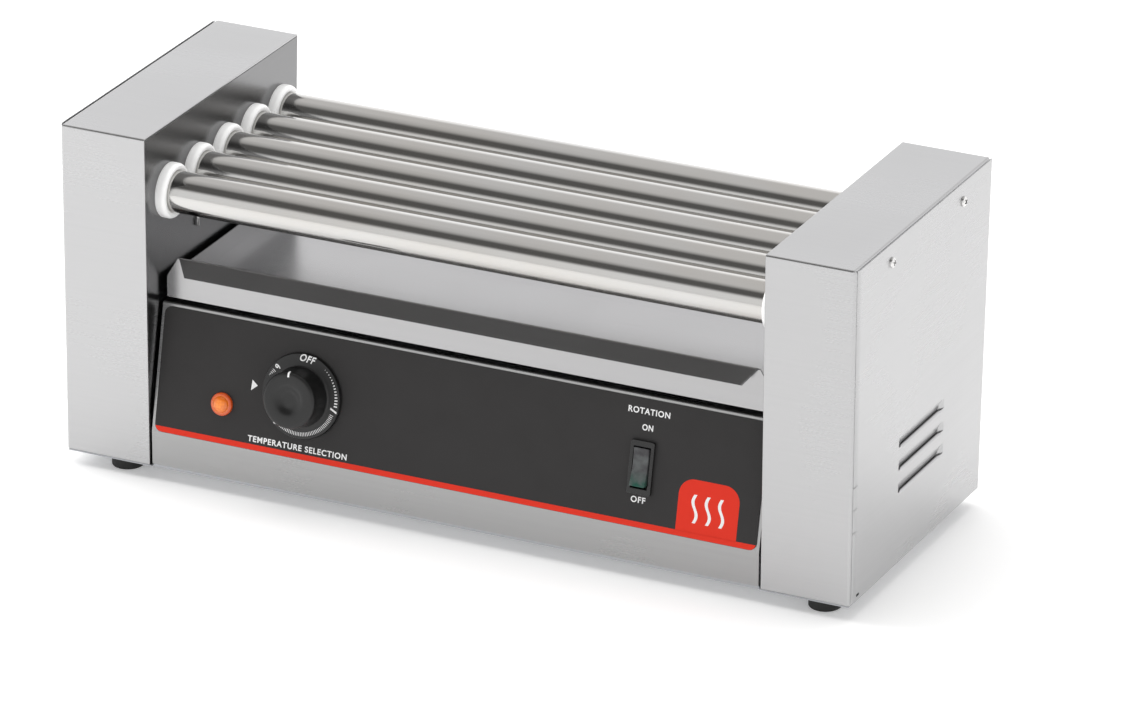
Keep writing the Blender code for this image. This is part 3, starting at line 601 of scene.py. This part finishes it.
def tab_outline():
    """A plain rounded tab that rises from the band."""
    points = [(TAB_LEFT, TAB_LOW), (TAB_RIGHT, TAB_LOW)]
    for x, start in ((TAB_RIGHT - TAB_CORNER, 0), (TAB_LEFT + TAB_CORNER, 90)):
        points += arc((x, TAB_HIGH - TAB_CORNER), TAB_CORNER, start, start + 90, 10)
    return points


def wave_outline(x, low, high, width, sway):
    """A short upright wavy stroke with a steady width."""
    steps = 24
    path = []
    for k in range(steps + 1):
        t = k / steps
        path.append((x + sway * math.sin(2 * math.pi * t), low + (high - low) * t))
    return [(px - width / 2, py) for px, py in path] + [(px + width / 2, py) for px, py in path[::-1]]


def inked(name, outlines, look, out=INK):
    """Flat shapes printed on the film."""
    piece(name, flat(outlines, INK_DEEP), look, "frame", on_panel(0, 0, out))


def print_on_film():
    """The film's red band and tab, its heat lines, the dial's pointer and the words."""
    NODES["control_overlay"].material_slots[0].material = LOOKS["film"]
    inked("print_stripe", [stripe_outline(BAND_TOP)], "red")
    inked("print_tab", [tab_outline()], "red")
    centre, apart, foot, top = HEAT_LINES
    waves = [wave_outline(centre + k * apart, foot, top, 0.0022, 0.0016) for k in (-1, 0, 1)]
    inked("print_heat_lines", waves, "white", INK + 0.00003)
    inked("print_pointer", [[(-0.1476, 0.0448), (-0.1518, 0.0482), (-0.1524, 0.0408)]], "white")
    label("print_temperature", "TEMPERATURE SELECTION", (-0.1145, 0.0084), 0.0742)
    label("print_rotation", "ROTATION", (0.1370, 0.0785), 0.0300)
    label("print_on", "ON", (0.1370, 0.0678), 0.0078)
    label("print_off", "OFF", (0.1352, 0.0192), 0.0105)


# Name, text, clockwise degrees from the top, radius, own turn, (width, height)
DIAL_TEXT = (
    ("off", "OFF", 6.6, 0.0262, 0, (0.0118, 0.0050)),
    ("one", "1", 102, 0.0257, 0, (0.0028, 0.0050)),
    ("five", "5", 219, 0.0257, 180, (0.0030, 0.0048)),
    ("nine", "9", 313, 0.0254, 40, (0.0028, 0.0044)),
)


KNOB_PLACE = on_panel(KNOB_ACROSS, KNOB_UP, PANEL_SEAT)
KNOB_FACE = 0.0218  # heights and radii from the knob's own seat and axis
KNOB_GRIP = 0.0200
KNOB_DISH = 0.0115
KNOB_ROUND = 0.0026
SKIRT_IN, SKIRT_OUT, SKIRT_LOW, SKIRT_HIGH = 0.0216, 0.0287, 0.0026, 0.0034
DIAL_LIFT = 0.00008  # how far the print stands off the knob
STROKE_IN, STROKE_OUT, STROKE_WIDTH, STROKE_APART = 0.0242, 0.0268, 0.00042, 2.8


def skirt_height(radius):
    return SKIRT_LOW + (SKIRT_OUT - radius) / (SKIRT_OUT - SKIRT_IN) * (SKIRT_HIGH - SKIRT_LOW)


def knob_body():
    """A skirt, a grip with a slight draft, a round shoulder and a dished face."""
    edge, foot = 0.0007, 0.0016
    profile = [(0, 0), (0.0285, 0)] + arc((0.0286, edge), edge, -90, 0, 4)
    profile += [(0.0290, 0.0019), (SKIRT_OUT, SKIRT_LOW), (SKIRT_IN, SKIRT_HIGH)]
    profile += arc((SKIRT_IN, SKIRT_HIGH + foot), foot, 270, 185, 5)
    profile += [(KNOB_GRIP - 0.0004, 0.0125), (KNOB_GRIP - 0.0007, KNOB_FACE - KNOB_ROUND)]
    profile += arc((KNOB_GRIP - 0.0033, KNOB_FACE - KNOB_ROUND), KNOB_ROUND, 0, 90, 8)
    for k in range(11):
        share = 0.5 - 0.5 * math.cos(math.pi * min(k / 6, 1))
        profile.append((KNOB_DISH * (1 - k / 10), KNOB_FACE - KNOB_ROUND * share))
    piece("knob_body", turned(profile, 96), "black", "knob", KNOB_PLACE, ["control_knob"], 40)


def dial_words():
    slope = math.atan2(SKIRT_HIGH - SKIRT_LOW, SKIRT_OUT - SKIRT_IN)
    for name, text, clock, radius, turn, size in DIAL_TEXT:
        lift = Matrix.Translation((0, radius, skirt_height(radius) + DIAL_LIFT))
        out = Matrix.Rotation(-math.radians(clock), 4, "Z") @ lift @ Matrix.Rotation(-slope, 4, "X")
        place = KNOB_PLACE @ out @ Matrix.Rotation(math.radians(turn), 4, "Z")
        mesh = lettering(f"dial_{name}", text, *size, slant=0.25)
        piece(f"dial_{name}", mesh, "white", "knob", place)


def dial_strokes():
    """Marks that grow from dots towards 1, then even strokes, then ones that grow towards 9."""
    strokes = []
    for k in range(14):
        strokes.append((38 + 4.4 * k, 0.0263 - 0.00009 * k, 0.0267 + 0.00006 * k, 0.0004 + 0.00004 * k))
    for start, count in ((110, 37), (226, 14)):
        clocks = [start + STROKE_APART * k for k in range(count)]
        strokes += [(clock, STROKE_IN, STROKE_OUT, STROKE_WIDTH) for clock in clocks]
    for k in range(5):
        strokes.append((293 + STROKE_APART * k, 0.0263 - 0.0006 * k, STROKE_OUT, STROKE_WIDTH))
    bm = bmesh.new()
    for clock, inner, outer, width in strokes:
        turn = Matrix.Rotation(-math.radians(clock), 3, "Z")
        half = width / 2
        corners = [(-half, inner), (half, inner), (half, outer), (-half, outer)]
        places = [turn @ Vector((x, y, skirt_height(y) + DIAL_LIFT)) for x, y in corners]
        bm.faces.new([bm.verts.new(at) for at in places])
    piece("dial_marks", bm, "white", "knob", KNOB_PLACE)


def knob_mark():
    """A painted line that runs over the shoulder of the grip."""
    half = 0.0007
    line = [(0.0158, 0.0), (0.0168, 0.0), (0.0181, 0.0004), (0.0189, 0.0012), (0.01935, 0.0030)]
    bm = bmesh.new()
    rows = []
    for radius, drop in line:
        y, z = radius + DIAL_LIFT, KNOB_FACE - drop + DIAL_LIFT
        rows.append([bm.verts.new((x, y, z)) for x in (-half, half)])
    for low, high in zip(rows, rows[1:]):
        bm.faces.new((low[0], low[1], high[1], high[0]))
    bmesh.ops.recalc_face_normals(bm, faces=bm.faces)
    place = KNOB_PLACE @ Matrix.Rotation(math.radians(4), 4, "Z")
    piece("knob_mark", bm, "white", "knob", place)


def lamp():
    """A domed amber lens on a thin seat."""
    rim, rim_round, dome, dome_foot, dome_rise = 0.0079, 0.0012, 0.0056, 0.0022, 0.0026
    profile = [(0, 0), (rim, 0), (rim, 0.0008)]
    profile += arc((rim - rim_round, 0.0010), rim_round, 0, 60, 4)
    turns = [math.radians(a) for a in range(0, 90, 10)]
    profile += [(dome * math.cos(t), dome_foot + dome_rise * math.sin(t)) for t in turns]
    profile.append((0, dome_foot + dome_rise))
    node = "pilot_lamp_lens"
    place = on_panel(*LAMP_AT, PANEL_SEAT)
    piece("pilot_lamp_dome", turned(profile, 48), "amber", "frame", place, [node], 45)


def rocker():
    """A dished rocker that leans in at its top, which is on."""
    half, rise, wide, dish = 0.0129, 0.0088, 0.0110, 0.0018
    shares = [2 * k / 16 - 1 for k in range(17)]
    side = [(half * share, rise - dish * (1 - share ** 2)) for share in shares]
    hip, foot = (half - 0.0010, 0.0015), (half * 0.45, -0.0034)
    side += [hip, foot, (-foot[0], foot[1]), (-hip[0], hip[1])]
    at = Matrix.Translation(Vector(JOINTS["rocker_tilt"]["pos_m"])) @ TILT
    lean = Matrix.Rotation(math.radians(ROCKER_REST), 4, "X")
    place = at @ lean @ ACROSS @ Matrix.Translation((0, 0, -wide / 2))
    node = "rocker_button"
    obj = piece("rocker_cap", flat([side], wide), "rocker", "rocker", place, [node])
    bevelled(obj, 0.0006, 3)
    refined("switch_housing", "gloss", 0.0004)


# ---------------------------------------------------------------- the rest


def feet():
    """Four moulded feet with a hollow under each and eased edges."""
    ease = 0.0014
    for node in [n for n in NODES if n.startswith("foot_")]:
        low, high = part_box(node)
        centre, radius, tall = (low + high) / 2, (high.x - low.x) / 2, high.z - low.z
        profile = [(0, 0.0006), (0.0040, 0.0006), (0.0046, 0), (radius - 0.0016, 0)]
        profile += arc((radius - ease, ease), ease, -80, 0, 5)
        profile += [(radius - 0.0002, tall - 0.0006), (radius - 0.0008, tall), (0, tall)]
        place = Matrix.Translation((centre.x, centre.y, 0))
        piece(f"{node}_moulding", turned(profile, 48), "rubber", "frame", place, [node], 40)


GLAND_BORE = 0.0045
GLAND_BODY = 0.0092
GLAND_SIDES = 72
GLAND_RIB = 0.00035
CAP_LOW, CAP_RIBS_END, CAP_HIGH = 0.0053, 0.0100, 0.0114


def gland():
    """A flanged gland with a ribbed cap, open for a cord."""
    centre = middle("cord_gland")
    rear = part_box("rear_panel")[1].y
    place = Matrix.Translation((centre.x, rear + 0.0003, centre.z)) @ ALONG
    inside, neck, flange, ease = -0.0112, 0.0084, 0.0118, 0.0010
    profile = [(GLAND_BORE, inside), (neck, inside), (neck, -0.0002), (flange, -0.0002)]
    profile += arc((flange - ease, 0.0016), ease, 0, 90, 4)
    profile += [(GLAND_BODY, 0.0030), (GLAND_BODY, 0.0052), (GLAND_BORE, 0.0052)]
    body = turned(profile, 48, closed=True)
    piece("gland_flange", body, "black", "frame", place, ["cord_gland"])
    piece("gland_cap", gland_cap(), "black", "frame", place)


def gland_cap():
    """Rings up the ribbed outside and back down the bore, joined into one skin."""
    outside = ((CAP_LOW, 0.0004), (0.0058, 0.0), (0.0092, 0.0003), (0.0108, 0.0012), (CAP_HIGH, 0.0024))
    turns = [2 * math.pi * k / GLAND_SIDES for k in range(GLAND_SIDES)]
    bm = bmesh.new()
    rings = []
    for z, shrink in outside:
        ribs = [GLAND_RIB if k % 4 < 2 and z < CAP_RIBS_END else 0.0 for k in range(GLAND_SIDES)]
        rings.append([(GLAND_BODY - shrink + rib, z) for rib in ribs])
    rings += [[(GLAND_BORE, z)] * GLAND_SIDES for z in (CAP_HIGH, CAP_LOW)]
    skin = [
        [bm.verts.new((r * math.cos(t), r * math.sin(t), z)) for (r, z), t in zip(ring, turns)]
        for ring in rings
    ]
    for low, high in zip(skin, skin[1:] + skin[:1]):
        for k in range(GLAND_SIDES):
            after = (k + 1) % GLAND_SIDES
            bm.faces.new((low[k], low[after], high[after], high[k]))
    bmesh.ops.recalc_face_normals(bm, faces=bm.faces)
    return bm


REAR_SCREW_INSET = 0.012
PIN_AT = (0.0014 - INNER_FACE, -0.0316, 0.1592)
PIN_RADIUS, PIN_LENGTH = 0.0010, 0.0058
COVER_SLOT_AT = (HALF_WIDTH + 0.00004, -0.0925, 0.0160)


def rear_screws():
    low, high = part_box("rear_panel")
    inset = REAR_SCREW_INSET
    for row, z in (("low", low.z + inset), ("high", high.z - inset)):
        for column, x in (("left", low.x + inset), ("middle", 0.0), ("right", high.x - inset)):
            place = Matrix.Translation((x, high.y, z)) @ ALONG
            screw(f"rear_screw_{row}_{column}", place, head=0.0031, rise=0.0018)


def small_details():
    """A pin on the left inner panel, and a dark patch painted as the shade inside a slot low on each
    cover.
    """
    tip = arc((0, PIN_LENGTH), PIN_RADIUS, 0, 90, 4)
    pin = turned([(0, 0), (PIN_RADIUS, 0), *tip], 16)
    place = Matrix.Translation(PIN_AT)
    piece("left_panel_pin", pin, "screw", "frame", place)
    # painted shade: each slot is a thin dark patch on the cover, not an opening
    half, point, tall = 0.0018, 0.0024, 0.0009
    slot = [(-half, -tall), (half, -tall), (point, 0.0), (half, tall), (-half, tall), (-point, 0.0)]
    x, y, z = COVER_SLOT_AT
    for name, side in (("left", -1), ("right", 1)):
        mesh = flat([slot], INK_DEEP)
        place = across(side * x, y, z)
        piece(f"cover_slot_{name}", mesh, "dark", "frame", place)


def sheets():
    """The flat and folded sheets that keep the CAD's own shape."""
    # a darker steel than the other sheets, as painted shade
    refined("front_panel", "panel_shade_x")
    refined("drip_tray", "tray", 0.0002)
    refined("tray_deck", "zinc")
    refined("base_pan", "zinc")
    refined("rear_panel", "steel_x")


# ---------------------------------------------------------------- stage


def camera():
    """A long lens aimed from the front right, above the object."""
    ahead = Vector(CAMERA_AHEAD).normalized()
    right = ahead.cross(Vector((0, 0, 1))).normalized()
    up = right.cross(ahead)
    tilted_right = right * math.cos(CAMERA_ROLL) + up * math.sin(CAMERA_ROLL)
    tilted_up = up * math.cos(CAMERA_ROLL) - right * math.sin(CAMERA_ROLL)
    data = bpy.data.cameras.new("camera")
    data.sensor_width = 36.0
    data.lens = LENS
    data.clip_end = 100.0
    obj = bpy.data.objects.new("camera", data)
    bpy.context.scene.collection.objects.link(obj)
    turn = Matrix((tilted_right, tilted_up, -ahead)).transposed().to_4x4()
    obj.matrix_world = Matrix.Translation(CAMERA_AT) @ turn
    bpy.context.scene.camera = obj


def softbox(name, at, towards, size, radiance):
    """An area light for the matt surfaces only, so that the metal mirrors just the floor and the dome."""
    data = bpy.data.lights.new(name, "AREA")
    data.shape = "RECTANGLE"
    data.size, data.size_y = size
    data.energy = radiance * math.pi * size[0] * size[1]
    obj = bpy.data.objects.new(name, data)
    bpy.context.scene.collection.objects.link(obj)
    aim = (Vector(towards) - Vector(at)).to_track_quat("-Z", "Y").to_matrix().to_4x4()
    obj.matrix_world = Matrix.Translation(at) @ aim
    obj.visible_glossy = False
    return obj


def dome():
    """Bright all round the horizon, dimmer overhead, and dark high up in front."""
    world = bpy.data.worlds.new("studio")
    world.use_nodes = True
    bpy.context.scene.world = world
    tree = world.node_tree
    where = put(tree, "ShaderNodeTexCoord", {}).outputs["Generated"]
    axes = put(tree, "ShaderNodeSeparateXYZ", {"Vector": where})
    up = axes.outputs["Z"]
    low = mixed(tree, ranged(tree, up, 0.45, 0.62, 0.0, 1.0), (1.02, 1.02, 1.02), (0.13, 0.128, 0.125))
    front = mixed(tree, ranged(tree, up, 0.86, 0.97, 0.0, 1.0), low, (0.80, 0.79, 0.78))
    behind = mixed(tree, ranged(tree, up, 0.38, 0.62, 0.0, 1.0), (1.34, 1.34, 1.35), (0.80, 0.79, 0.78))
    back = ranged(tree, axes.outputs["Y"], -0.25, 0.25, 0.0, 1.0)
    sky = tree.nodes["Background"]
    tree.links.new(mixed(tree, back, front, behind), sky.inputs["Color"])
    sky.inputs["Strength"].default_value = 1.0


def studio():
    """A white floor under a pale dome, with soft light from above and from the left."""
    bm = bmesh.new()
    bmesh.ops.create_circle(bm, cap_ends=True, segments=64, radius=14.0)
    mesh = bpy.data.meshes.new("floor")
    bm.to_mesh(mesh)
    bm.free()
    white = {"Emission Color": (1.0, 1.0, 1.0), "Emission Strength": 0.24}
    mesh.materials.append(plastic("floor_white", (0.90, 0.90, 0.90), 0.95, 0.0, **white))
    floor = bpy.data.objects.new("floor", mesh)
    bpy.context.scene.collection.objects.link(floor)
    dome()
    softbox("overhead", (-0.5, 0.45, 2.9), (0, 0, 0), (3.4, 2.8), 2.0)
    softbox("left", (-2.6, -0.2, 2.2), (0, 0, 0.1), (1.6, 1.6), 4.4)
    bpy.context.scene.view_settings.view_transform = "Standard"


housings()
rollers()
print_on_film()
knob_body()
dial_words()
dial_strokes()
knob_mark()
lamp()
rocker()
sheets()
feet()
gland()
rear_screws()
small_details()
camera()
studio()
